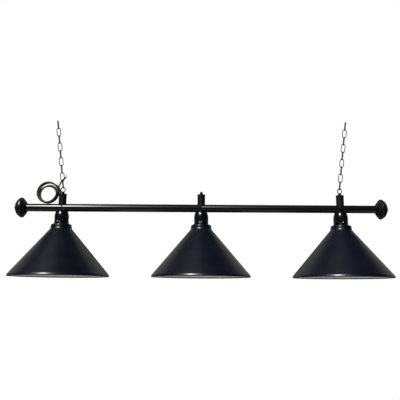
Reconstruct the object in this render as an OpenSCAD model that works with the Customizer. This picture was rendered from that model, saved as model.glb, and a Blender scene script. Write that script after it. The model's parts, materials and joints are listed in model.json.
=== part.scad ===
// Three-shade lamp that hangs over a pool table on two chains.
// Millimetres, +Z up, +X along the bar, -Y towards the front.
// The origin is midway between the two points that the chains hang from.

/* [Bar] */
// Distance between neighbouring shades
shade_pitch = 500; // [400:10:620]
// Distance from an outer shade to the end of its bar tube
bar_overhang = 140; // [100:5:200]
// Outside diameter of the bar tube
bar_d = 28; // [24:1:34]
// Wall of the bar tube
bar_wall = 1.5; // [1:0.25:2]
// Length of the sleeve that joins the two bar tubes
joiner_len = 120; // [80:5:200]
// Wall of the joining sleeve
joiner_wall = 1.5; // [1:0.25:2]

/* [End caps] */
// Largest diameter of an end cap
cap_d = 72; // [60:1:90]
// Depth of the outer dome, without its nub
cap_dome = 23; // [16:1:30]
// Length of the inner side, from the rim band to the bar
cap_back = 18; // [14:1:26]
// Width of the band round the rim
cap_band = 3; // [2:0.5:5]
// Step between the band and the dome
cap_step = 1.2; // [0.8:0.2:2]
// Diameter of the nub
nub_d = 5; // [3:0.5:8]
// Height of the nub
nub_h = 3; // [2:0.5:5]
// How far the bar tube reaches into its cap
cap_socket = 14; // [8:1:16]

/* [Posts] */
// Diameter of a post
post_d = 27.5; // [27:0.5:34]
// Height of a post above the bar
post_h = 36; // [26:1:50]
// Height of the lip round the top of a post
lip_h = 4; // [3:0.5:6]
// How far the lip stands out from its post
lip_out = 0.75; // [0.25:0.25:1.5]
// Chamfer round the top of the lip
lip_chamfer = 0.75; // [0.25:0.25:0.75]

/* [Threaded tubes] */
// Outside diameter of the threaded tube
tube_d = 10; // [8:1:12]
// Wall of the threaded tube
tube_wall = 1.5; // [1:0.25:2]
// Room left above the tube in the foot that it screws into
tube_spare = 1; // [0.5:0.25:1.5]

/* [Eyes and centre nut] */
// Diameter of the turned foot of an eye or nut
foot_d = 12; // [11:0.2:12]
// Height of an eye's foot
foot_h = 8.5; // [5:0.5:12]
// Depth of the thread in the foot
foot_thread = 4; // [3:0.5:4.5]
// Outside width of the ring
ring_w = 20.4; // [18.8:0.2:26]
// Outside height of the ring
ring_h = 18.4; // [16:0.2:18.4]
// Thickness of the ring's wire
ring_wire = 3.2; // [2.8:0.2:4]
// Height of the pointed centre nut
acorn_h = 12.5; // [9:0.5:16]
// Height of the straight rim round its foot
acorn_rim = 4; // [4:0.5:6]

/* [Cups] */
// Outside diameter of a cup
cup_d = 51; // [46:1:60]
// Height of a cup from the shade to the underside of the bar
cup_h = 43; // [36:1:56]
// Wall of a cup
cup_wall = 1.5; // [1:0.25:2]
// Thickness of a cup's crown under the bar
cup_crown = 3; // [2:0.5:5]
// Height of the straight part of a cup
cup_straight = 23; // [15:1:28]
// How far a cup's crown laps up the side of the bar
cup_lap = 4; // [2:0.5:5]

/* [Shades] */
// Diameter of a shade across its rim
shade_d = 350; // [280:5:420]
// Overall height of a shade
shade_h = 188; // [150:2:230]
// Height of the straight edge at the rim
hem_h = 5; // [3:0.5:10]
// Diameter of the neck
neck_d = 72; // [68:1:90]
// Height of the straight neck
neck_h = 13; // [10:1:20]
// Height of the sloping shoulder above the neck
shoulder_h = 5; // [3:0.5:8]
// Widening where the cone meets the neck
collar_step = 3; // [1:0.5:5]
// Height of that widening
collar_h = 3; // [2:0.5:6]
// Sheet thickness of a shade
shade_wall = 1; // [0.8:0.1:1.5]

/* [Lampholders] */
// Distance across the flats of the lock nut
nut_flats = 17; // [15:1:19]
// Thickness of the lock nut
nut_h = 4; // [3:0.5:6]
// Outside diameter of a lampholder
holder_d = 40; // [38:1:46]
// Length of a lampholder
holder_len = 56; // [48:1:64]
// Slope round the top of a lampholder
holder_chamfer = 6; // [2:1:8]
// Length of thread that a lampholder has on its tube
holder_grip = 7; // [5:0.5:9]
// Inside radius of the screw shell
shell_r = 13.25; // [13.2:0.05:13.4]
// Wall of the screw shell
shell_wall = 0.8; // [0.5:0.1:1.2]
// Length of the screw shell
shell_len = 22; // [18:1:26]
// How far the shell sits inside the lampholder's mouth
shell_inset = 2; // [1:0.5:4]
// Diameter of the recess above the shell
recess_d = 18; // [12:1:22]
// Diameter of the centre contact
contact_d = 7; // [5:0.5:9]
// Height of the centre contact
contact_h = 3; // [2:0.5:5]

/* [Chains] */
// Number of links in each chain
link_count = 9; // [5:2:15]
// Distance from one link to the next
link_pitch = 28.2; // [24:0.2:34]
// Outside width of a link
link_w = 16; // [14:0.5:20]
// Wire thickness of a link
link_wire = 2.8; // [2.4:0.1:3.4]
// Outward lean of each chain, in degrees
lean = 7.2; // [0:0.2:12]

/* [Cord] */
// Diameter of the cord
cord_d = 6; // [5.5:0.1:6.2]
// Outside diameter of the coil
coil_d = 80; // [76:1:81]
// Inside diameter of the coil
coil_bore = 48; // [44:1:60]
// Depth of the coil from front to back
coil_depth = 16; // [12:1:20]
// Wall of the bush round the cord
bush_wall = 0.4; // [0.2:0.1:0.5]
// Height of the bush above its post
bush_h = 1.5; // [1:0.25:3]

/* [Hidden] */
$fn = 64;
places = ["left", "centre", "right"];
sides = ["left", "right"];

// Clearance between pieces that are threaded, pushed or seated together
seat_gap = 0.1;
// Clearance between a thread and its hole
thread_gap = 0.05;
// Gap between links that bear on each other
link_gap = 0.3;
// Overshoot of every cut
cut = 1;

// Heights above the rim of the shades
bar_z = shade_h + cup_h + bar_d / 2;
post_top = bar_z + bar_d / 2 + post_h;
ring_r = (ring_h - ring_wire) / 2;
ring_z = post_top + foot_h + ring_r;
pivot_z = ring_z + ring_r;
neck_top = shade_h - shoulder_h;
neck_bottom = neck_top - neck_h;
cone_top = neck_bottom - collar_h;
plate_z = shade_h - shade_wall;
holder_top = plate_z - nut_h;
holder_bottom = holder_top - holder_len;
tube_bottom = holder_top - holder_grip;
tube_top = post_top + foot_thread - tube_spare;
shell_top = holder_bottom + shell_inset + shell_len;

// A link bears on the eye half a gap and half a wire below the eye's pivot
eye_bearing = (ring_wire + link_gap) / 2;
hang_along = link_count * link_pitch - eye_bearing + link_gap / 2;
drop = pivot_z + hang_along * cos(lean);

bar_end = shade_pitch + bar_overhang;
tube_hole_d = tube_d + 2 * seat_gap;
cord_hole_d = cord_d + 2 * seat_gap;
cone_slope = (shade_d / 2 - neck_d / 2 - collar_step) / (cone_top - hem_h);
cone_inset = shade_wall * sqrt(1 + cone_slope * cone_slope);

// Paints, metals and plastics
black_paint = [0.06, 0.07, 0.09];
black_metal = [0.12, 0.12, 0.13];
zinc = [0.62, 0.62, 0.62];
brass = [0.72, 0.58, 0.30];
black_plastic = [0.05, 0.05, 0.05];
brown_flex = [0.22, 0.18, 0.13];

// Route of the cord from inside the left post to the coil, x and z measured
// from the middle of the post and from the top of the bar
lead_route = [
    [-8, -5.6, 28], [-8, -5.6, 38], [-8.5, -5.6, 43], [-10, -5.6, 49],
    [-12.5, -5.5, 55], [-16, -5, 60], [-21, -4, 64]
];
// Route of the free end, from the coil up behind the chain
tail_route = [
    [-17.5, 7, 38], [-19.3, 11.2, 48.5], [-19.8, 13.5, 57.5], [-19.6, 15, 66.5], [-16.5, 17, 76],
    [-12.7, 18.8, 85], [-7.7, 20, 92], [-2.9, 20.5, 96.8], [1.4, 20.5, 101.3]
];
// Middle of the coil, from the middle of the post
coil_x = -55;
// The cord's hole in its post and bar
hole_x = lead_route[0][0] - shade_pitch;
hole_y = lead_route[0][1];

module from_rim(x = 0, z = 0, y = 0) translate([x, y, z - drop]) children();
module along_x(x, z, d, len) from_rim(x, z) rotate([0, 90, 0]) cylinder(d = d, h = len);
module upright(x, z, d, len, y = 0) from_rim(x, z, y) cylinder(d = d, h = len);

// One bar tube, from the middle joint to its end cap, drilled for the threaded tubes
module bar_tube(side) {
    x0 = side < 0 ? -bar_end : 0;
    color(black_paint) difference() {
        along_x(x0, bar_z, bar_d, bar_end);
        along_x(x0 - cut, bar_z, bar_d - 2 * bar_wall, bar_end + 2 * cut);
        for (x = [0, side * shade_pitch]) upright(x, bar_z - bar_d, tube_hole_d, 2 * bar_d);
        if (side < 0) upright(hole_x, bar_z, cord_hole_d, bar_d, hole_y);
    }
}

module bar_joiner() {
    joiner_d = bar_d - 2 * bar_wall - 2 * thread_gap;
    color(zinc) difference() {
        along_x(-joiner_len / 2, bar_z, joiner_d, joiner_len);
        along_x(-joiner_len / 2 - cut, bar_z, joiner_d - 2 * joiner_wall, joiner_len + 2 * cut);
        upright(0, bar_z - bar_d, tube_hole_d, 2 * bar_d);
    }
}

// Turned cap: rounded back, band round the rim, shallow dome and a nub
module end_cap(side) {
    band_r = cap_d / 2;
    dome_r = band_r - cap_step;
    sphere_r = (dome_r * dome_r + cap_dome * cap_dome) / (2 * cap_dome);
    hub_r = bar_d / 2;
    back_x = bar_end - cap_socket;
    band_x = back_x + cap_back;
    dome_x = band_x + cap_band;
    half_angle = asin(dome_r / sphere_r);
    steps = 8;
    back = [for (i = [0:steps]) let (u = i / steps)
        [hub_r + (dome_r - hub_r) * (1 - (1 - u) * (1 - u)), back_x + u * cap_back]];
    dome = [for (i = [0:steps]) let (a = half_angle * (1 - i / steps))
        [sphere_r * sin(a), dome_x + cap_dome - sphere_r * (1 - cos(a))]];
    color(black_paint) from_rim(0, bar_z) rotate([0, side * 90, 0]) difference() {
        union() {
            rotate_extrude() polygon(concat([[0, back_x]], back,
                [[band_r, band_x], [band_r, dome_x]], dome));
            translate([0, 0, dome_x + cap_dome - cut]) cylinder(d = nub_d, h = nub_h + cut);
        }
        translate([0, 0, back_x - cut]) cylinder(d = bar_d + 2 * seat_gap, h = cap_socket + cut);
    }
}

// Post: a turned spacer with a lip, which sits astride the bar
module post(x, has_cord) {
    post_r = post_d / 2;
    lip_r = post_r + lip_out;
    color(black_paint) difference() {
        from_rim(x) rotate_extrude() polygon([
            [0, bar_z], [post_r, bar_z], [post_r, post_top - lip_h],
            [lip_r, post_top - lip_h + lip_out], [lip_r, post_top - lip_chamfer],
            [lip_r - lip_chamfer, post_top], [0, post_top]]);
        along_x(x - post_d, bar_z, bar_d + 2 * seat_gap, 2 * post_d);
        upright(x, bar_z, tube_hole_d, 2 * (post_top - bar_z));
        if (has_cord) upright(hole_x, bar_z, cord_hole_d, 2 * (post_top - bar_z), hole_y);
    }
}

module foot_hole(x) upright(x, post_top - cut, tube_d + 2 * thread_gap, foot_thread + cut);

// Closed loop of round wire about its own middle, in the XZ plane: two bends joined by legs
module wire_loop(bend_r, leg, wire) {
    for (end = [0, 1]) mirror([0, 0, end]) translate([0, 0, leg / 2]) rotate([90, 0, 0])
        rotate_extrude(angle = 180) translate([bend_r, 0]) circle(d = wire, $fn = 32);
    for (s = [-1, 1]) translate([s * bend_r, 0, -leg / 2]) cylinder(d = wire, h = leg, $fn = 32);
}

// Eye nut: an oval wire ring on a turned foot, in the plane of the bar
module eye(x) {
    color(black_metal) difference() {
        union() {
            upright(x, post_top, foot_d, foot_h);
            from_rim(x, ring_z) rotate([0, 90, 0]) wire_loop(ring_r, ring_w - ring_h, ring_wire);
        }
        foot_hole(x);
    }
}

// Pointed acorn nut: a straight rim under an arched point
module top_nut() {
    foot_r = foot_d / 2;
    steps = 8;
    fullness = 1.8;
    point = [for (i = [0:steps]) let (u = i / steps)
        [foot_r * (1 - pow(u, fullness)), acorn_rim + u * (acorn_h - acorn_rim)]];
    color(black_metal) difference() {
        from_rim(0, post_top) rotate_extrude() polygon(concat([[0, 0], [foot_r, 0]], point));
        foot_hole(0);
    }
}

module threaded_tube(x) {
    color(zinc) difference() {
        upright(x, tube_bottom, tube_d, tube_top - tube_bottom);
        upright(x, tube_bottom - cut, tube_d - 2 * tube_wall, tube_top - tube_bottom + 2 * cut);
    }
}

// Outline of a cup from its straight wall up its rounded crown
function cup_side(r, top, rise) = let (steps = 8, s = shade_h + cup_straight)
    [for (i = [0:steps]) let (z = s + (top - s) * i / steps)
        [r * sqrt(1 - pow((z - s) / rise, 2)), z]];

module cup(x) {
    outer_r = cup_d / 2;
    rise = bar_z - shade_h - cup_straight;
    top = bar_z - bar_d / 2 + cup_lap;
    roof = bar_z - bar_d / 2 - cup_crown;
    color(black_paint) difference() {
        from_rim(x) rotate_extrude() polygon(concat(
            [[0, shade_h], [outer_r, shade_h]], cup_side(outer_r, top, rise), [[0, top]]));
        from_rim(x) rotate_extrude() polygon(concat(
            [[0, shade_h - cut], [outer_r - cup_wall, shade_h - cut]],
            cup_side(outer_r - cup_wall, roof, rise - cup_wall), [[0, roof]]));
        along_x(x - cup_d, bar_z, bar_d + 2 * seat_gap, 2 * cup_d);
        upright(x, shade_h, tube_hole_d, 2 * cup_h);
    }
}

// Spun shade: straight hem, cone, collar, neck, shoulder and a drilled top
module shade(x) {
    rim_r = shade_d / 2;
    neck_r = neck_d / 2;
    top_r = cup_d / 2;
    color(black_paint) difference() {
        from_rim(x) rotate_extrude($fn = 96) polygon([
            [0, 0], [rim_r, 0], [rim_r, hem_h], [neck_r + collar_step, cone_top],
            [neck_r, neck_bottom], [neck_r, neck_top], [top_r, shade_h], [0, shade_h]]);
        from_rim(x) rotate_extrude($fn = 96) polygon([
            [0, -cut], [rim_r - shade_wall, -cut], [rim_r - shade_wall, hem_h - shade_wall / 2],
            [neck_r + collar_step - cone_inset, cone_top],
            [neck_r - shade_wall, neck_bottom], [neck_r - shade_wall, neck_top - shade_wall / 2],
            [top_r - shade_wall, plate_z], [0, plate_z]]);
        upright(x, neck_bottom, tube_hole_d, shade_h);
    }
}

module lock_nut(x) {
    color(zinc) difference() {
        from_rim(x, holder_top) cylinder(r = nut_flats / sqrt(3), h = nut_h, $fn = 6);
        upright(x, holder_top - cut, tube_d + 2 * thread_gap, nut_h + 2 * cut);
    }
}

module lampholder(x) {
    r = holder_d / 2;
    color(black_plastic) difference() {
        from_rim(x) rotate_extrude() polygon([
            [0, holder_bottom], [r, holder_bottom], [r, holder_top - holder_chamfer],
            [r - holder_chamfer, holder_top], [0, holder_top]]);
        upright(x, holder_bottom - cut, 2 * (shell_r + shell_wall + seat_gap),
            shell_inset + shell_len + cut);
        upright(x, shell_top - cut, recess_d, contact_h + cut);
        upright(x, tube_bottom, tube_d + 2 * thread_gap, holder_grip + cut);
    }
}

module screw_shell(x) {
    color(brass) difference() {
        upright(x, shell_top - shell_len, 2 * (shell_r + shell_wall), shell_len);
        upright(x, shell_top - shell_len - cut, 2 * shell_r, shell_len + 2 * cut);
    }
}

module contact(x) color(brass) upright(x, shell_top, contact_d, contact_h);

// Link number k of a chain, counted up from the eye; odd links stand edge-on to the front
module chain_link(side, k) {
    bend_r = (link_w - link_wire) / 2;
    leg = link_pitch + link_gap + link_wire - 2 * bend_r;
    color(black_metal) from_rim(side * shade_pitch, pivot_z) rotate([0, side * lean, 0])
        translate([0, 0, (k - 0.5) * link_pitch - eye_bearing])
            rotate([0, 0, k % 2 == 1 ? 90 : 0]) wire_loop(bend_r, leg, link_wire);
}

// Tube swept along a list of points, one ring at each point
function heading(p, i) = let (a = p[max(0, i - 1)], b = p[min(len(p) - 1, i + 1)]) (b - a) / norm(b - a);
function ring_points(p, i, r, n) = let (t = heading(p, i), u = cross(t, [0, 1, 0]) / norm(cross(t, [0, 1, 0])),
    v = cross(t, u)) [for (j = [0:n - 1]) p[i] + r * (cos(360 * j / n) * u + sin(360 * j / n) * v)];

module cord_tube(route, r, n = 10) {
    rings = len(route);
    points = [for (i = [0:rings - 1]) each ring_points(route, i, r, n)];
    walls = [for (i = [0:rings - 2], j = [0:n - 1]) let (k = (j + 1) % n)
        [i * n + j, (i + 1) * n + j, (i + 1) * n + k, i * n + k]];
    ends = [[for (j = [0:n - 1]) j], [for (j = [n - 1:-1:0]) (rings - 1) * n + j]];
    polyhedron(points = points, faces = concat(walls, ends), convexity = 4);
}

module beside_post() from_rim(-shade_pitch, bar_z + bar_d / 2) children();

module cord_bush() {
    color(black_metal) difference() {
        upright(hole_x, post_top, cord_hole_d + 2 * bush_wall, bush_h, hole_y);
        upright(hole_x, post_top - cut, cord_hole_d, bush_h + 2 * cut, hole_y);
    }
}

module cord_lead() color(brown_flex) beside_post() cord_tube(lead_route, cord_d / 2);
module cord_tail() color(brown_flex) beside_post() cord_tube(tail_route, cord_d / 2);

module cord_coil() {
    color(brown_flex) beside_post() translate([coil_x, 0, coil_d / 2 + link_gap])
        rotate([90, 0, 0]) translate([0, 0, -coil_depth / 2]) rotate_extrude()
            translate([coil_bore / 2, 0]) square([(coil_d - coil_bore) / 2, coil_depth]);
}

shade_x = [-shade_pitch, 0, shade_pitch];
side_sign = [-1, 1];

bar_joiner();
top_nut();
cord_bush();
cord_lead();
cord_coil();
cord_tail();
for (i = [0:1]) {
    bar_tube(side_sign[i]);
    end_cap(side_sign[i]);
    eye(side_sign[i] * shade_pitch);
    for (k = [1:link_count])
        chain_link(side_sign[i], k);
}
for (i = [0:2]) {
    post(shade_x[i], i == 0);
    threaded_tube(shade_x[i]);
    cup(shade_x[i]);
    shade(shade_x[i]);
    lock_nut(shade_x[i]);
    lampholder(shade_x[i]);
    screw_shell(shade_x[i]);
    contact(shade_x[i]);
}
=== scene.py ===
"""A hanging lamp for a pool table: three spun shades under one bar, on two chains."""
import json
import math

import bmesh
import bpy
from mathutils import Matrix, Vector


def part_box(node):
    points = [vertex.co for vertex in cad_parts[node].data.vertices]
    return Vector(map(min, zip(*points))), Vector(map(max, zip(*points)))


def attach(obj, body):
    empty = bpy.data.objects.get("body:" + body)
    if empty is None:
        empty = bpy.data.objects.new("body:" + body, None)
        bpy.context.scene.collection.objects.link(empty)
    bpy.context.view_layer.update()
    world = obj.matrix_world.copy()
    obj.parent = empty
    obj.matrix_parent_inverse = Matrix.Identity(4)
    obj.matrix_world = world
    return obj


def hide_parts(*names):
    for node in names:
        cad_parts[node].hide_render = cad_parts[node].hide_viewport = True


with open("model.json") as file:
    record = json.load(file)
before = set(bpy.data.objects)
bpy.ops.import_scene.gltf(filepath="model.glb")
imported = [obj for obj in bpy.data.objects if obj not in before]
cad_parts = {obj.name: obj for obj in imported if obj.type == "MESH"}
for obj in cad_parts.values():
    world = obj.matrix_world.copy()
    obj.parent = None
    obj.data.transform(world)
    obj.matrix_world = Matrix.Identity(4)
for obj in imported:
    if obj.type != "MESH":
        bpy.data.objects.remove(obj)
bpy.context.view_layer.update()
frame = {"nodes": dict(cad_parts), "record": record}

mm = 0.001
PLACES = ("left", "centre", "right")
SIDES = ("left", "right")


# --- Camera -------------------------------------------------------------------------------
# It stands in front of the lamp, a little under the rims, and looks slightly up.
def node_middle(name):
    """The middle of a CAD node's box."""
    low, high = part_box(name)
    return (Vector(low) + Vector(high)) / 2


def lowest(name):
    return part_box(name)[0][2]


def highest(name):
    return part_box(name)[1][2]


rim_z = lowest("shade_centre")
bar_z = node_middle("bar_left").z
bar_r = (highest("bar_left") - lowest("bar_left")) / 2

camera_data = bpy.data.cameras.new("camera")
camera_data.lens = 48.15
camera_data.sensor_width = 36
camera = bpy.data.objects.new("camera", camera_data)
bpy.context.collection.objects.link(camera)
camera_aside = -4.6 * mm
camera_back = 1.901
camera_under_bar = 0.299
look_up = math.radians(9.85)
roll = math.radians(0.33)
camera.matrix_world = (
    Matrix.Translation((camera_aside, -camera_back, bar_z - camera_under_bar))
    @ Matrix.Rotation(math.pi / 2 + look_up, 4, "X")
    @ Matrix.Rotation(roll, 4, "Z")
)
bpy.context.scene.camera = camera


# --- Supply cord --------------------------------------------------------------------------
# Round flex with a dark brown PVC sheath. It comes out of the left post, is wound into one
# upright coil that stands on the bar, and its free end goes up behind the chain.
def linear(code):
    """A colour written as sRGB hex, turned linear."""
    parts = [int(code[i:i + 2], 16) / 255 for i in (0, 2, 4)]
    return [c / 12.92 if c <= 0.04045 else ((c + 0.055) / 1.055) ** 2.4 for c in parts] + [1]


def add(material, kind, inputs=None, **settings):
    """Adds one node with its settings, its values and its links."""
    made = material.node_tree.nodes.new("ShaderNode" + kind)
    for key, value in settings.items():
        setattr(made, key, value)
    for key, value in (inputs or {}).items():
        if isinstance(value, bpy.types.NodeSocket):
            material.node_tree.links.new(value, made.inputs[key])
        else:
            made.inputs[key].default_value = value
    return made


def surface(name, colour, roughness, metallic=0.0, ior=1.5):
    """A material whose constants stand on the shader's own sockets."""
    made = bpy.data.materials.new(name)
    made.use_nodes = True
    shader = made.node_tree.nodes["Principled BSDF"]
    shader.inputs["Base Color"].default_value = linear(colour)
    shader.inputs["Roughness"].default_value = roughness
    shader.inputs["Metallic"].default_value = metallic
    shader.inputs["IOR"].default_value = ior
    return made, shader


def plug(material, shader, **sockets):
    """Links sockets to the shader by their names, with underscores for spaces."""
    for key, value in sockets.items():
        material.node_tree.links.new(value, shader.inputs[key.replace("_", " ")])


def tint(material, factor, dark, light, low=0.3, high=0.7):
    """A two-colour ramp between two hex colours."""
    ramp = add(material, "ValToRGB", {"Fac": factor})
    ramp.color_ramp.elements[0].position = low
    ramp.color_ramp.elements[0].color = linear(dark)
    ramp.color_ramp.elements[1].position = high
    ramp.color_ramp.elements[1].color = linear(light)
    return ramp.outputs["Color"]


def noise(material, size, detail=4.0, stretch=(1, 1, 1)):
    """Cloudy noise whose spots are about that many millimetres across."""
    where = add(material, "TexCoord").outputs["Object"]
    scaled = add(material, "VectorMath", {0: where, 1: stretch}, operation="MULTIPLY").outputs["Vector"]
    values = {"Vector": scaled, "Scale": 1 / (size * mm), "Detail": detail}
    return add(material, "TexNoise", values).outputs["Fac"]


def between(material, factor, low, high):
    """A value that follows a factor from one limit to the other."""
    return add(material, "MapRange", {"Value": factor, "To Min": low, "To Max": high}).outputs["Result"]


def relief(material, height, strength, depth):
    """A bump that is at most that many millimetres deep."""
    values = {"Height": height, "Strength": strength, "Distance": depth * mm}
    return add(material, "Bump", values).outputs["Normal"]


# PVC sheath, extruded: matt, a little dusty, with a fine die grain
sheath_pvc, shader = surface("pvc_sheath", "2A241B", 0.5, ior=1.53)
dust = noise(sheath_pvc, 12, 5.0)
plug(sheath_pvc, shader, Base_Color=tint(sheath_pvc, dust, "1A160F", "3C3426"),
     Roughness=between(sheath_pvc, dust, 0.38, 0.62),
     Normal=relief(sheath_pvc, noise(sheath_pvc, 0.8, 3.0), 0.25, 0.2))

cord_r = 3 * mm
post_x = -node_middle("shade_right").x
bar_top = bar_z + bar_r
# Routes from the middle of the post and from the top of the bar, in millimetres
lead_route = [(-8, -5.6, 28), (-8, -5.6, 33), (-8, -5.6, 38), (-8.4, -5.6, 43), (-9.6, -5.6, 49),
              (-12, -5.5, 55), (-15.7, -5, 60.5), (-20.5, -4.5, 65)]
tail_route = [(-18.4, 7.8, 38), (-18.6, 10.8, 48.5), (-19.6, 13.5, 57.5), (-19.6, 15, 66.5),
              (-16.5, 17, 76), (-12.7, 18.8, 85), (-7.7, 20, 92), (-2.9, 20.5, 96.8), (1.4, 20.5, 101.3)]
coil_middle = Vector((node_middle("cord_coil").x, 0, node_middle("cord_coil").z))


def beside_post(point):
    x, y, z = point
    return Vector((post_x + x * mm, y * mm, bar_top + z * mm))


# Each turn has its own place in the bundle: radius, middle and depth in millimetres, and how
# far it is pulled into an oval
turn_radius = [37.0, 36.6, 30.0, 28.0, 36.4]
turn_aside = [0.0, 0.3, 2.5, 2.5, 0.0]
turn_up = [1.5, 1.5, -3.5, -5.0, 0.0]
turn_depth = [-4.2, 1.9, -3.0, 4.6, 6.2]
turn_oval = [0.02, 0.03, 0.08, 0.05, 0.0]
coil_from = math.radians(52)
coil_to = math.radians(360 * 4 - 22)
steps_a_turn = 24
count = int((coil_to - coil_from) / (2 * math.pi) * steps_a_turn)
coil_points = []
for step in range(count + 1):
    angle = coil_from + (coil_to - coil_from) * step / count
    turn = angle / (2 * math.pi)
    k = min(int(turn), len(turn_radius) - 2)
    ease = turn - k
    ease = ease * ease * (3 - 2 * ease)
    turns = (turn_radius, turn_aside, turn_up, turn_depth, turn_oval)
    radius, aside, up, depth, oval = (row[k] + (row[k + 1] - row[k]) * ease for row in turns)
    radius *= 1 + oval * math.cos(2 * angle - math.pi / 2)
    point = Vector((radius * math.cos(angle) + aside, depth, radius * math.sin(angle) + up))
    coil_points.append(coil_middle + point * mm)

cord_path = [beside_post(p) for p in lead_route] + coil_points + [beside_post(p) for p in tail_route]
cord_curve = bpy.data.curves.new("supply_cord", "CURVE")
cord_curve.dimensions = "3D"
cord_curve.bevel_depth = cord_r
cord_curve.bevel_resolution = 4
cord_curve.use_fill_caps = True
spline = cord_curve.splines.new("BEZIER")
spline.bezier_points.add(len(cord_path) - 1)
for point, place in zip(spline.bezier_points, cord_path):
    point.co = place
    point.handle_left_type = point.handle_right_type = "AUTO"
spline.resolution_u = 4
supply_cord = bpy.data.objects.new("supply_cord", cord_curve)
bpy.context.collection.objects.link(supply_cord)
cord_curve.materials.append(sheath_pvc)
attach(supply_cord, "lamp")
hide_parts("cord_lead", "cord_coil", "cord_tail")


# --- Bare ends of the cord ----------------------------------------------------------------
# Two stripped cores, brown and blue, with tinned copper tips, ready for a ceiling terminal.
def new_piece(name, bm, *materials, smooth_below=40, recalculate=True):
    """Turns a bmesh into a smooth-shaded piece that stands at the origin."""
    if recalculate:
        bmesh.ops.recalc_face_normals(bm, faces=bm.faces)
    mesh = bpy.data.meshes.new(name)
    bm.to_mesh(mesh)
    bm.free()
    for material in materials:
        mesh.materials.append(material)
    mesh.shade_smooth()
    mesh.set_sharp_from_angle(angle=math.radians(smooth_below))
    made = bpy.data.objects.new(name, mesh)
    bpy.context.collection.objects.link(made)
    return made


def place_of(bm, matrix):
    bmesh.ops.transform(bm, matrix=matrix, verts=bm.verts)


def stand_at(bm, name):
    """Moves a shape that was turned about the Z axis to the middle and the foot of a CAD node."""
    place_of(bm, Matrix.Translation((node_middle(name).x, 0, lowest(name))))


def wire_along(bm, points, radius, material):
    """A round wire through a few points: a ring of vertices at each, bridged to the next."""
    rings = []
    last = len(points) - 1
    for i, point in enumerate(points):
        ahead = points[min(i + 1, last)] - points[max(i - 1, 0)]
        stand = Matrix.Translation(point) @ ahead.to_track_quat("Z", "Y").to_matrix().to_4x4()
        made = bmesh.ops.create_circle(bm, cap_ends=i in (0, last), segments=12, radius=radius,
                                       matrix=stand)
        rings.append(list({edge for vert in made["verts"] for edge in vert.link_edges}))
    for ring, following in zip(rings, rings[1:]):
        bmesh.ops.bridge_loops(bm, edges=ring + following)
    for edge in sum(rings, []):
        for face in edge.link_faces:
            face.material_index = material


# PVC core insulation: smooth, with a faint mottle from handling
brown_core, shader = surface("pvc_core_brown", "5B3420", 0.35, ior=1.53)
plug(brown_core, shader, Base_Color=tint(brown_core, noise(brown_core, 2), "4E2B19", "693F28"))
blue_core, shader = surface("pvc_core_blue", "3C5E92", 0.35, ior=1.53)
plug(blue_core, shader, Base_Color=tint(blue_core, noise(blue_core, 2), "335384", "466AA0"))

# Tinned copper strands, twisted together: fine ridges that run aslant
tinned_copper, shader = surface("tinned_copper", "C9C6C0", 0.3, metallic=1.0)
strands = noise(tinned_copper, 0.35, 1.0, stretch=(1, 1, 0.3))
plug(tinned_copper, shader, Base_Color=tint(tinned_copper, noise(tinned_copper, 1), "B4B0A8", "D6D4CF"),
     Normal=relief(tinned_copper, strands, 0.6, 0.15))

tail_end = beside_post(tail_route[-1])
onward = (beside_post(tail_route[-1]) - beside_post(tail_route[-2])).normalized()
bm = bmesh.new()
for core, (drift, lift) in enumerate(((Vector((1, 0, -0.15)), -1.3), (Vector((0.1, 0, 1)), 1.3))):
    root = tail_end + Vector((0, 0, lift * mm)) - onward * 2 * mm
    mid = root + onward * 4 * mm + drift * 1.0 * mm
    end = mid + drift * 4.5 * mm
    tip = end + drift * 5.5 * mm
    wire_along(bm, [root, mid, end], 1.1 * mm, core)
    wire_along(bm, [end - (end - mid) * 0.2, end, tip], 0.7 * mm, 2)
cord_cores = new_piece("cord_cores", bm, brown_core, blue_core, tinned_copper, smooth_below=60)
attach(cord_cores, "lamp")


# --- Shades -------------------------------------------------------------------------------
# Spun from 1 mm steel sheet: shoulder, neck, straight cone and a rolled hem. Powder coated
# satin black outside and gloss white inside.
def turned(bm, outline, closed, steps=96):
    """Spins an outline of (radius, height, corner radius) in mm about the Z axis."""
    verts = [bm.verts.new((r * mm, 0, z * mm)) for r, z, _ in outline]
    pairs = list(zip(verts, verts[1:])) + ([(verts[-1], verts[0])] if closed else [])
    for a, b in pairs:
        bm.edges.new((a, b))
    for size in sorted({c for _, _, c in outline if c}):
        corners = [v for v, (_, _, c) in zip(verts, outline) if c == size and v.is_valid]
        bmesh.ops.bevel(bm, geom=corners, offset=size * mm, offset_type="OFFSET", segments=5,
                        profile=0.5, affect="VERTICES", material=-1)
    bmesh.ops.spin(bm, geom=bm.verts[:] + bm.edges[:], cent=(0, 0, 0), axis=(0, 0, 1),
                   dvec=(0, 0, 0), angle=2 * math.pi, steps=steps, use_merge=True)
    bmesh.ops.remove_doubles(bm, verts=bm.verts, dist=0.002 * mm)
    bmesh.ops.recalc_face_normals(bm, faces=bm.faces)


# Satin black polyester powder on steel: a faint orange peel and slight unevenness in its sheen
# The blue cast in these near-black colours is painted light: a bluish sheen from a dim blue light at the
# upper left, put into the coat's own colour.
black_powder, shader = surface("powder_coat_satin_black", "080D17", 0.3)
sheen = noise(black_powder, 45)
plug(black_powder, shader, Base_Color=tint(black_powder, sheen, "070B13", "0A101B"),
     Roughness=between(black_powder, sheen, 0.28, 0.32),
     Normal=relief(black_powder, noise(black_powder, 1.6, 2.0), 0.12, 0.06))

# Gloss white enamel, sprayed inside the shade, where it yellows very slightly round the lamp
white_enamel, shader = surface("enamel_white", "EDEDE8", 0.28, ior=1.5)
plug(white_enamel, shader, Base_Color=tint(white_enamel, noise(white_enamel, 30), "E4E3DC", "F2F2EE"),
     Normal=relief(white_enamel, noise(white_enamel, 3, 2.0), 0.1, 0.05))

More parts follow.
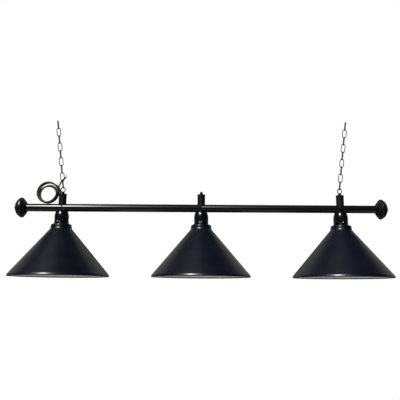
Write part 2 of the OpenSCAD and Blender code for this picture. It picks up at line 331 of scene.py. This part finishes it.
shade_outline = [
    (5.2, 188, 0), (26, 188, 0.8), (36.2, 183, 2), (37.2, 171, 1.5), (39.4, 166.6, 2), (175, 5.5, 4.6),
    (175, 0, 0.7), (172.3, 0, 1.2), (172.3, 3.4, 0.8), (173.6, 4.4, 0.6),
    (173.6, 5.8, 0), (37.9, 167.2, 2), (36.1, 171.4, 1.5), (35.1, 182.4, 1.6), (25.6, 186.9, 0.8),
    (5.2, 186.9, 0),
]
for place in PLACES:
    bm = bmesh.new()
    turned(bm, shade_outline, closed=True, steps=128)
    for face in bm.faces:
        centre = face.calc_center_median()
        out = Vector((centre.x, centre.y, 0)).normalized()
        facing_in = face.normal.dot(out) < -0.2 or face.normal.z < -0.5
        face.material_index = 1 if facing_in and centre.z > 2.5 * mm else 0
    stand_at(bm, "shade_" + place)
    spun_shade = new_piece("spun_shade_" + place, bm, black_powder, white_enamel, recalculate=False)
    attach(spun_shade, "lamp")
    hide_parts("shade_" + place)


# --- Cups ---------------------------------------------------------------------------------
# Drawn steel cups between the bar and the shades, with six shallow flutes pressed round the
# skirt. Black powder coat, glossier than on the shades.
cup_h = highest("cup_centre") - lowest("cup_centre")
cup_r = (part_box("cup_centre")[1][0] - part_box("cup_centre")[0][0]) / 2
flute_count = 6
flute_half_w = 8.4 * mm
flute_half_h = 9.5 * mm
flute_corner = 7 * mm
flute_middle = 13.5 * mm
flute_depth = 1.3 * mm
flute_turn = math.radians(-99)

# Gloss black powder, smoother than on the shades, so the edges of the flutes catch the light
gloss_powder, shader = surface("powder_coat_gloss_black", "080A10", 0.2)
flow = noise(gloss_powder, 12)
plug(gloss_powder, shader, Base_Color=tint(gloss_powder, flow, "06080D", "0A0C13"),
     Roughness=between(gloss_powder, flow, 0.19, 0.27),
     Normal=relief(gloss_powder, noise(gloss_powder, 2, 2.0), 0.08, 0.05))


def flute_push(x, y, z):
    """How far a point of the skirt is pressed in."""
    around = (math.atan2(y, x) - flute_turn) / (2 * math.pi) * flute_count
    along = (around - round(around)) * 2 * math.pi * cup_r / flute_count
    dx = max(abs(along) - flute_half_w + flute_corner, 0)
    dz = max(abs(z - flute_middle) - flute_half_h + flute_corner, 0)
    inside = flute_corner - math.hypot(dx, dz)
    depth = min(max(inside / (2.2 * mm), 0), 1)
    return flute_depth * depth * depth * (3 - 2 * depth)


crown = [(25.5 * math.sqrt(1 - (i / 8 * 24 / 34) ** 2), 23 + 24 * i / 8, 0) for i in range(9)]
skirt_rows = 34
cup_outline = [(25.5, 0.6 + (crown[0][1] - 0.6) * i / skirt_rows, 0) for i in range(skirt_rows)] + crown
cup_outline += [(12, cup_h / mm, 0), (5.2, cup_h / mm, 0), (5.2, 38, 0)]
cup_outline += [(r - 1.2, min(z, 38), 0) for r, z, _ in reversed(crown[:6])] + [(24.2, 0, 0), (25, 0, 0)]
for place in PLACES:
    bm = bmesh.new()
    turned(bm, cup_outline, closed=True, steps=192)
    for vert in bm.verts:
        radius = math.hypot(vert.co.x, vert.co.y)
        if radius > cup_r - 0.4 * mm and vert.co.z < 26 * mm:
            push = flute_push(*vert.co)
            vert.co.x -= vert.co.x / radius * push
            vert.co.y -= vert.co.y / radius * push
    stand_at(bm, "cup_" + place)
    drawn_cup = new_piece("drawn_cup_" + place, bm, gloss_powder, smooth_below=50)
    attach(drawn_cup, "lamp")
    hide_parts("cup_" + place)


# --- Bar ----------------------------------------------------------------------------------
# Two lengths of 28 mm steel tube that meet on a sleeve under the centre post. Semi-gloss
# black powder coat, smoother than on the shades.
bar_powder, shader = surface("powder_coat_semi_gloss_black", "060607", 0.3)
sheen = noise(bar_powder, 30)
plug(bar_powder, shader, Base_Color=tint(bar_powder, sheen, "050505", "080809"),
     Roughness=between(bar_powder, sheen, 0.28, 0.32),
     Normal=relief(bar_powder, noise(bar_powder, 2, 2.0), 0.08, 0.05))

along_bar = Matrix.Rotation(math.pi / 2, 4, "Y")
for side in SIDES:
    low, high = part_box("bar_" + side)
    half = (high[0] - low[0]) / mm
    bm = bmesh.new()
    turned(bm, [(14, 0, 0.5), (14, half, 0.5), (12.5, half, 0.3), (12.5, 0, 0.3)], closed=True, steps=64)
    place_of(bm, Matrix.Translation((low[0], 0, bar_z)) @ along_bar)
    tube = new_piece("bar_tube_" + side, bm, bar_powder)
    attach(tube, "lamp")
    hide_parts("bar_" + side)


# --- End caps -----------------------------------------------------------------------------
# Turned and lacquered gloss black: a rounded back, a thin band round the widest place, a
# shallow dome and a small nub.
cap_lacquer, shader = surface("lacquer_gloss_black", "08080A", 0.4)
flow = noise(cap_lacquer, 10)
plug(cap_lacquer, shader, Base_Color=tint(cap_lacquer, flow, "060608", "0C0C0F"),
     Roughness=between(cap_lacquer, flow, 0.37, 0.44), Normal=relief(cap_lacquer, flow, 0.05, 0.2))

cap_outline = [(0, 14, 0), (14, 14, 0), (14, 0, 0.6), (16.2, 0.3, 0.8), (25, 6, 3), (32.8, 13, 2),
               (34.4, 15, 0.4), (35.2, 15.4, 0.3), (36, 16, 0.5), (36, 21.8, 0.5), (35.2, 22.3, 0.3),
               (34.6, 22.8, 0.3),
               (34.2, 24, 1), (28.6, 32, 4), (20.6, 37.3, 4), (11.5, 41.3, 3), (4.4, 43.5, 0.8),
               (2.8, 44.3, 0.5), (2.4, 46, 0.9), (0, 47, 0)]
for side, sign in zip(SIDES, (-1, 1)):
    low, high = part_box("end_cap_" + side)
    inner_x = high[0] if sign < 0 else low[0]
    bm = bmesh.new()
    turned(bm, cap_outline, closed=False, steps=96)
    place_of(bm, Matrix.Translation((inner_x, 0, bar_z)) @ Matrix.Rotation(sign * math.pi / 2, 4, "Y"))
    cap = new_piece("turned_cap_" + side, bm, cap_lacquer)
    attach(cap, "lamp")
    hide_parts("end_cap_" + side)


# --- Posts --------------------------------------------------------------------------------
# Turned steel spacers that sit astride the bar, with a narrow lip round the top. Matt black
# powder coat, rougher than the bar's.
post_powder, shader = surface("powder_coat_matt_black", "050506", 0.6, ior=1.28)
grit = noise(post_powder, 0.9, 3.0)
plug(post_powder, shader, Base_Color=tint(post_powder, noise(post_powder, 14), "050506", "0A0A0B"),
     Roughness=between(post_powder, grit, 0.52, 0.7), Normal=relief(post_powder, grit, 0.2, 0.08))

saddle_r = bar_r + 0.1 * mm
post_outline = [(r, 14, 0) for r in (5.1, 7.5, 10, 12, 13, 13.75)]
post_outline += [(13.75, 46, 0.4), (14.5, 46.75, 0.3), (14.5, 50, 0.9), (5.1, 50, 0.3)]
for place in PLACES:
    bm = bmesh.new()
    turned(bm, post_outline, closed=True, steps=96)
    for vert in bm.verts:
        if vert.co.z < 20 * mm:
            vert.co.z = math.sqrt(max(saddle_r ** 2 - vert.co.y ** 2, 0))
    place_of(bm, Matrix.Translation((node_middle("threaded_tube_" + place).x, 0, bar_z)))
    post = new_piece("turned_post_" + place, bm, post_powder)
    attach(post, "lamp")
    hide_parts("post_" + place)


# --- Eye nuts -----------------------------------------------------------------------------
# An oval ring of bent wire, brazed to a turned foot that screws down on the threaded tube.
# Black zinc plate.
def wire_loop(bm, bend, leg, wire, weld=0.0):
    """A closed loop of round wire in the XZ plane: two bends joined by legs, one with a weld."""
    ring = bmesh.ops.create_circle(bm, cap_ends=False, segments=20, radius=wire / 2)["verts"]
    bmesh.ops.translate(bm, vec=(bend, 0, -leg / 2), verts=ring)
    edges = list({edge for vert in ring for edge in vert.link_edges})
    for sign in (1, -1):
        swells = {0.42: 0, 0.46: weld, 0.54: weld, 0.58: 0} if sign < 0 else {}
        for share, swell in list(swells.items()) + [(1, 0)]:
            made = bmesh.ops.extrude_edge_only(bm, edges=edges)["geom"]
            verts = [item for item in made if isinstance(item, bmesh.types.BMVert)]
            edges = [item for item in made if isinstance(item, bmesh.types.BMEdge)
                     and all(vert in verts for vert in item.verts)]
            middle = Vector((sign * bend, 0, sign * leg * (share - 0.5)))
            for vert in verts:
                out = Vector((vert.co.x - sign * bend, vert.co.y, 0)).normalized()
                vert.co = middle + out * wire / 2 * (1 + swell)
        spun = bmesh.ops.spin(bm, geom=edges, cent=(0, 0, sign * leg / 2), axis=(0, -1, 0),
                              dvec=(0, 0, 0), angle=math.pi, steps=22)["geom_last"]
        edges = [item for item in spun if isinstance(item, bmesh.types.BMEdge)]
    bmesh.ops.remove_doubles(bm, verts=bm.verts, dist=0.01 * mm)


# Black zinc plate on steel wire: dark grey metal, a little worn to grey where it rubs
black_zinc, shader = surface("zinc_plate_black", "1A1A1C", 0.38, metallic=1.0)
rubbed = noise(black_zinc, 3)
plug(black_zinc, shader, Base_Color=tint(black_zinc, rubbed, "131315", "242427"),
     Roughness=between(black_zinc, rubbed, 0.46, 0.3),
     Normal=relief(black_zinc, noise(black_zinc, 0.5, 2.0), 0.15, 0.05))

ring_wire = 3.2 * mm
foot_h = 8.5
foot_outline = [(0, 4, 0), (5.05, 4, 0), (5.05, 0, 0.3), (6, 0, 0.4), (6, 2.6, 0.4), (5.5, 3.1, 0.2),
                (5.5, 4, 0.2), (5.9, 4.5, 0.3), (5.9, 6.6, 0.6), (4.4, foot_h, 0.8), (0, foot_h, 0)]
for side in SIDES:
    low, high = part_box("eye_" + side)
    eye_x = node_middle("eye_" + side).x
    ring_h = high.z - low.z - foot_h * mm + ring_wire / 2
    ring_w = high.x - low.x
    bm = bmesh.new()
    turned(bm, foot_outline, closed=False, steps=48)
    place_of(bm, Matrix.Translation((0, 0, low.z - high.z + ring_h / 2)))
    wire_loop(bm, (ring_h - ring_wire) / 2, ring_w - ring_h, ring_wire)
    place_of(bm, Matrix.Translation((eye_x, 0, high.z - ring_h / 2)))
    eye = new_piece("eye_nut_" + side, bm, black_zinc)
    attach(eye, "lamp")
    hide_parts("eye_" + side)


# --- Centre nut ---------------------------------------------------------------------------
# A turned acorn nut with a drawn-out point closes the middle threaded tube. Black zinc plate.
acorn = [(6 * (1 - (i / 10) ** 1.8), 4 + 8.5 * i / 10, 0) for i in range(1, 11)]
acorn_outline = [(0, 4, 0), (5.05, 4, 0), (5.05, 0, 0.3), (6, 0, 0.4), (6, 3.2, 0.3), (5.6, 3.6, 0.1),
                 (5.9, 4, 0.1)] + acorn
bm = bmesh.new()
turned(bm, acorn_outline, closed=False, steps=48)
stand_at(bm, "top_nut")
acorn_nut = new_piece("acorn_nut", bm, black_zinc)
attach(acorn_nut, "lamp")
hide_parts("top_nut")


# --- Chains -------------------------------------------------------------------------------
# Nine welded links of 2.8 mm wire on each side, every second one turned a quarter. The weld
# shows as a slight swelling half way up one leg. Black zinc plate, like the eyes.
link_wire = 2.8 * mm
link_w = 16 * mm
link_gap = 0.3 * mm
link_count = sum(name.startswith("link_left_") for name in frame["nodes"])
body_of = {name: body for body, names in frame["record"]["behaviour"]["bodies"].items() for name in names}
for side in SIDES:
    up = node_middle(f"link_{side}_{link_count}") - node_middle(f"link_{side}_1")
    lean = math.atan2(up.x, up.z)
    pitch = up.length / (link_count - 1)
    bend = (link_w - link_wire) / 2
    leg = pitch + link_gap + link_wire - 2 * bend
    for k in range(1, link_count + 1):
        name = f"link_{side}_{k}"
        bm = bmesh.new()
        wire_loop(bm, bend, leg, link_wire, weld=0.16)
        quarter = math.pi / 2 if k % 2 else 0
        place_of(bm, Matrix.Translation(node_middle(name)) @ Matrix.Rotation(lean, 4, "Y")
                 @ Matrix.Rotation(quarter + math.pi * (k % 3 == 0), 4, "Z"))
        link = new_piece("welded_" + name, bm, black_zinc)
        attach(link, body_of[name])
        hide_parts(name)


# --- Lampholders --------------------------------------------------------------------------
# Moulded black thermoset with grip ribs round the skirt and a parting groove above them. The
# screw shell and centre contact sit in its mouth.
thermoset, shader = surface("thermoset_black", "161616", 0.42, ior=1.55)
speck = noise(thermoset, 0.6, 2.0)
plug(thermoset, shader, Base_Color=tint(thermoset, noise(thermoset, 8), "111111", "1C1B1A"),
     Roughness=between(thermoset, speck, 0.36, 0.5), Normal=relief(thermoset, speck, 0.1, 0.05))

holder_outline = [(0, 27, 0), (9, 27, 0.3), (9, 24, 0.3), (14.15, 24, 0.3), (14.15, 0, 0.5), (18.6, 0, 1),
                  (20, 1.4, 0.6)]
holder_outline += [(20, 3 + i, 0) for i in range(28)]
holder_outline += [(20, 31.4, 0.3), (18.9, 32, 0.3), (18.9, 33.2, 0.3), (20, 33.8, 0.3), (20, 50, 1.6),
                   (14, 56, 1.2), (5.1, 56, 0.3), (5.1, 49, 0.2), (0, 49, 0)]
rib_count = 36
rib_depth = 0.7 * mm
for place in PLACES:
    bm = bmesh.new()
    turned(bm, holder_outline, closed=False, steps=216)
    for vert in bm.verts:
        radius = math.hypot(vert.co.x, vert.co.y)
        if radius > 19.9 * mm and 4.5 * mm < vert.co.z < 29.5 * mm:
            rib = 0.5 + 0.5 * math.cos(rib_count * math.atan2(vert.co.y, vert.co.x))
            vert.co.x -= vert.co.x / radius * rib_depth * (1 - rib)
            vert.co.y -= vert.co.y / radius * rib_depth * (1 - rib)
    stand_at(bm, "lampholder_" + place)
    holder = new_piece("moulded_lampholder_" + place, bm, thermoset)
    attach(holder, "lamp")
    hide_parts("lampholder_" + place)


# --- Screw shells -------------------------------------------------------------------------
# Rolled from thin brass strip with a round thread of 3.6 mm pitch for a 26 mm screw cap.
rolled_brass, shader = surface("rolled_brass", "C9A35A", 0.25, metallic=1.0)
tarnish = noise(rolled_brass, 5)
plug(rolled_brass, shader, Base_Color=tint(rolled_brass, tarnish, "AF8942", "D8B56C"),
     Roughness=between(rolled_brass, tarnish, 0.4, 0.2))

thread_pitch = 3.6
rows = 66
inner_wall = [(13.25, 22 * i / rows, 0) for i in range(rows + 1)]
outer_wall = [(13.55, z, 0) for _, z, _ in reversed(inner_wall)]
for place in PLACES:
    bm = bmesh.new()
    turned(bm, inner_wall + outer_wall, closed=True, steps=96)
    for vert in bm.verts:
        turn = math.atan2(vert.co.y, vert.co.x) / (2 * math.pi)
        wave = 0.25 - 0.25 * math.cos(2 * math.pi * (vert.co.z / mm / thread_pitch - turn))
        radius = math.hypot(vert.co.x, vert.co.y)
        vert.co.x *= 1 + wave * mm / radius
        vert.co.y *= 1 + wave * mm / radius
    stand_at(bm, "screw_shell_" + place)
    shell = new_piece("threaded_shell_" + place, bm, rolled_brass)
    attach(shell, "lamp")
    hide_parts("screw_shell_" + place)


# --- Centre contacts ----------------------------------------------------------------------
# A bent tongue of spring brass with a domed button that meets the foot of the bulb's cap.
button_outline = [(0, 0, 0), (1.6, 0.15, 0.3), (2.4, 0.8, 0.3), (2.4, 1.2, 0.1), (0, 1.2, 0)]
button_aside = 0.6 * mm
tongue = [(-3.3, 3.0), (-2.6, 2.8), (-1.9, 2.1), (-1.2, 1.4), (-0.4, 1.2), (2.9, 1.2)]
tongue_w = 4 * mm
tongue_wall = 0.4 * mm
for place in PLACES:
    bm = bmesh.new()
    turned(bm, button_outline, closed=False, steps=32)
    place_of(bm, Matrix.Translation((button_aside, 0, 0)))
    verts = [bm.verts.new((x * mm, -tongue_w / 2, z * mm)) for x, z in tongue]
    spine = [bm.edges.new(pair) for pair in zip(verts, verts[1:])]
    strip = bmesh.ops.extrude_edge_only(bm, edges=spine)["geom"]
    far_side = [item for item in strip if isinstance(item, bmesh.types.BMVert)]
    faces = [item for item in strip if isinstance(item, bmesh.types.BMFace)]
    bmesh.ops.translate(bm, vec=(0, tongue_w, 0), verts=far_side)
    bmesh.ops.solidify(bm, geom=faces, thickness=tongue_wall)
    stand_at(bm, "contact_" + place)
    contact = new_piece("contact_tongue_" + place, bm, rolled_brass)
    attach(contact, "lamp")
    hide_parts("contact_" + place)


# --- Lock nuts, threaded tubes and sleeve -------------------------------------------------
# Zinc plated steel inside the lamp: a chamfered hexagon nut holds each shade against its cup.
# The tubes and the sleeve that joins the bar keep their plain shapes.
bright_zinc, shader = surface("zinc_plate_bright", "B8BABC", 0.32, metallic=1.0)
spangle = noise(bright_zinc, 1.5)
plug(bright_zinc, shader, Base_Color=tint(bright_zinc, spangle, "A6A8AB", "C8CACC"),
     Roughness=between(bright_zinc, spangle, 0.24, 0.42))

flats = 8.5
nut_outline = [(5.1, 0.5, 0), (5.6, 0, 0), (8.3, 0, 0), (20, 0.55, 0), (20, 3.45, 0), (8.3, 4, 0),
               (5.6, 4, 0), (5.1, 3.5, 0)]
for place in PLACES:
    bm = bmesh.new()
    turned(bm, nut_outline, closed=True, steps=96)
    for vert in bm.verts:
        radius = math.hypot(vert.co.x, vert.co.y)
        if radius > 10 * mm:
            aside = math.atan2(vert.co.y, vert.co.x) % (math.pi / 3) - math.pi / 6
            vert.co.x *= flats / math.cos(aside) * mm / radius
            vert.co.y *= flats / math.cos(aside) * mm / radius
    stand_at(bm, "lock_nut_" + place)
    nut = new_piece("hexagon_nut_" + place, bm, bright_zinc, smooth_below=20)
    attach(nut, "lamp")
    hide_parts("lock_nut_" + place)

for name in ["threaded_tube_" + place for place in PLACES] + ["bar_joiner"]:
    frame["nodes"][name].data.materials.clear()
    frame["nodes"][name].data.materials.append(bright_zinc)


# --- Cord bush ----------------------------------------------------------------------------
# A soft moulded bush round the cord where it leaves the left post.
soft_rubber, shader = surface("moulded_rubber_black", "19191A", 0.6, ior=1.52)
plug(soft_rubber, shader, Base_Color=tint(soft_rubber, noise(soft_rubber, 1.2), "141415", "222223"))

bush_middle = node_middle("cord_bush")
bm = bmesh.new()
bush_outline = [(3.02, 0, 0), (3.9, 0, 0.2), (3.9, 0.7, 0.3), (3.5, 1.1, 0.2), (3.3, 1.8, 0.2),
                (3.02, 1.8, 0)]
turned(bm, bush_outline, closed=True, steps=40)
place_of(bm, Matrix.Translation((bush_middle.x, bush_middle.y, lowest("cord_bush"))))
moulded_bush = new_piece("moulded_bush", bm, soft_rubber)
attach(moulded_bush, "lamp")
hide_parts("cord_bush")


# --- Stage --------------------------------------------------------------------------------
# A pale floor under the lamp, one distant soft key from the upper left in front, and a dim
# room: dark in front and level with the lamp, pale behind it on both sides and higher up.
floor_paint, shader = surface("floor_paint", "A8A8A6", 0.6)
plug(floor_paint, shader, Base_Color=tint(floor_paint, noise(floor_paint, 300), "A4A4A2", "ACACAA"))
bm = bmesh.new()
floor_r = 1.9
floor_under_rims = 0.85
bmesh.ops.create_circle(bm, cap_ends=True, segments=96, radius=floor_r)
place_of(bm, Matrix.Translation((0, 0, rim_z - floor_under_rims)))
floor = new_piece("floor", bm, floor_paint)

world = bpy.data.worlds.new("studio")
bpy.context.scene.world = world
world.use_nodes = True
sky = world.node_tree.nodes["Background"]
split = add(world, "SeparateXYZ", {"Vector": add(world, "TexCoord").outputs["Generated"]})


def ramp(value, start, end):
    """Rises smoothly from nothing to one between two values."""
    values = {"Value": value, "From Min": start, "From Max": end}
    return add(world, "MapRange", values, interpolation_type="SMOOTHSTEP").outputs["Result"]


def times(a, b):
    return add(world, "Math", {0: a, 1: b}, operation="MULTIPLY").outputs[0]


aside = add(world, "Math", {0: split.outputs["X"]}, operation="ABSOLUTE").outputs[0]
behind = ramp(split.outputs["Y"], 0.1, 0.6)
above = ramp(split.outputs["Z"], 0.0, 0.2)
walls = times(times(ramp(aside, 0.05, 0.25), behind), above)
wall_light = 0.34
dark_light = 0.01
room = add(world, "Math", {0: walls, 1: wall_light, 2: dark_light}, operation="MULTIPLY_ADD").outputs[0]
seen = add(world, "LightPath").outputs["Is Camera Ray"]
strength = add(world, "Math", {0: room, 1: seen}, operation="MAXIMUM").outputs[0]
world.node_tree.links.new(strength, sky.inputs["Strength"])
sky.inputs["Color"].default_value = (1, 1, 1, 1)

key_data = bpy.data.lights.new("key", "SUN")
key_data.energy = 4.5
key_data.angle = math.radians(5)
key = bpy.data.objects.new("key", key_data)
bpy.context.collection.objects.link(key)
key_height = math.radians(42)
key_aside = math.radians(27)
level = math.cos(key_height)
towards_key = Vector((-math.sin(key_aside) * level, -math.cos(key_aside) * level, math.sin(key_height)))
key.matrix_world = towards_key.to_track_quat("Z", "Y").to_matrix().to_4x4()

bpy.context.scene.view_settings.view_transform = "Standard"
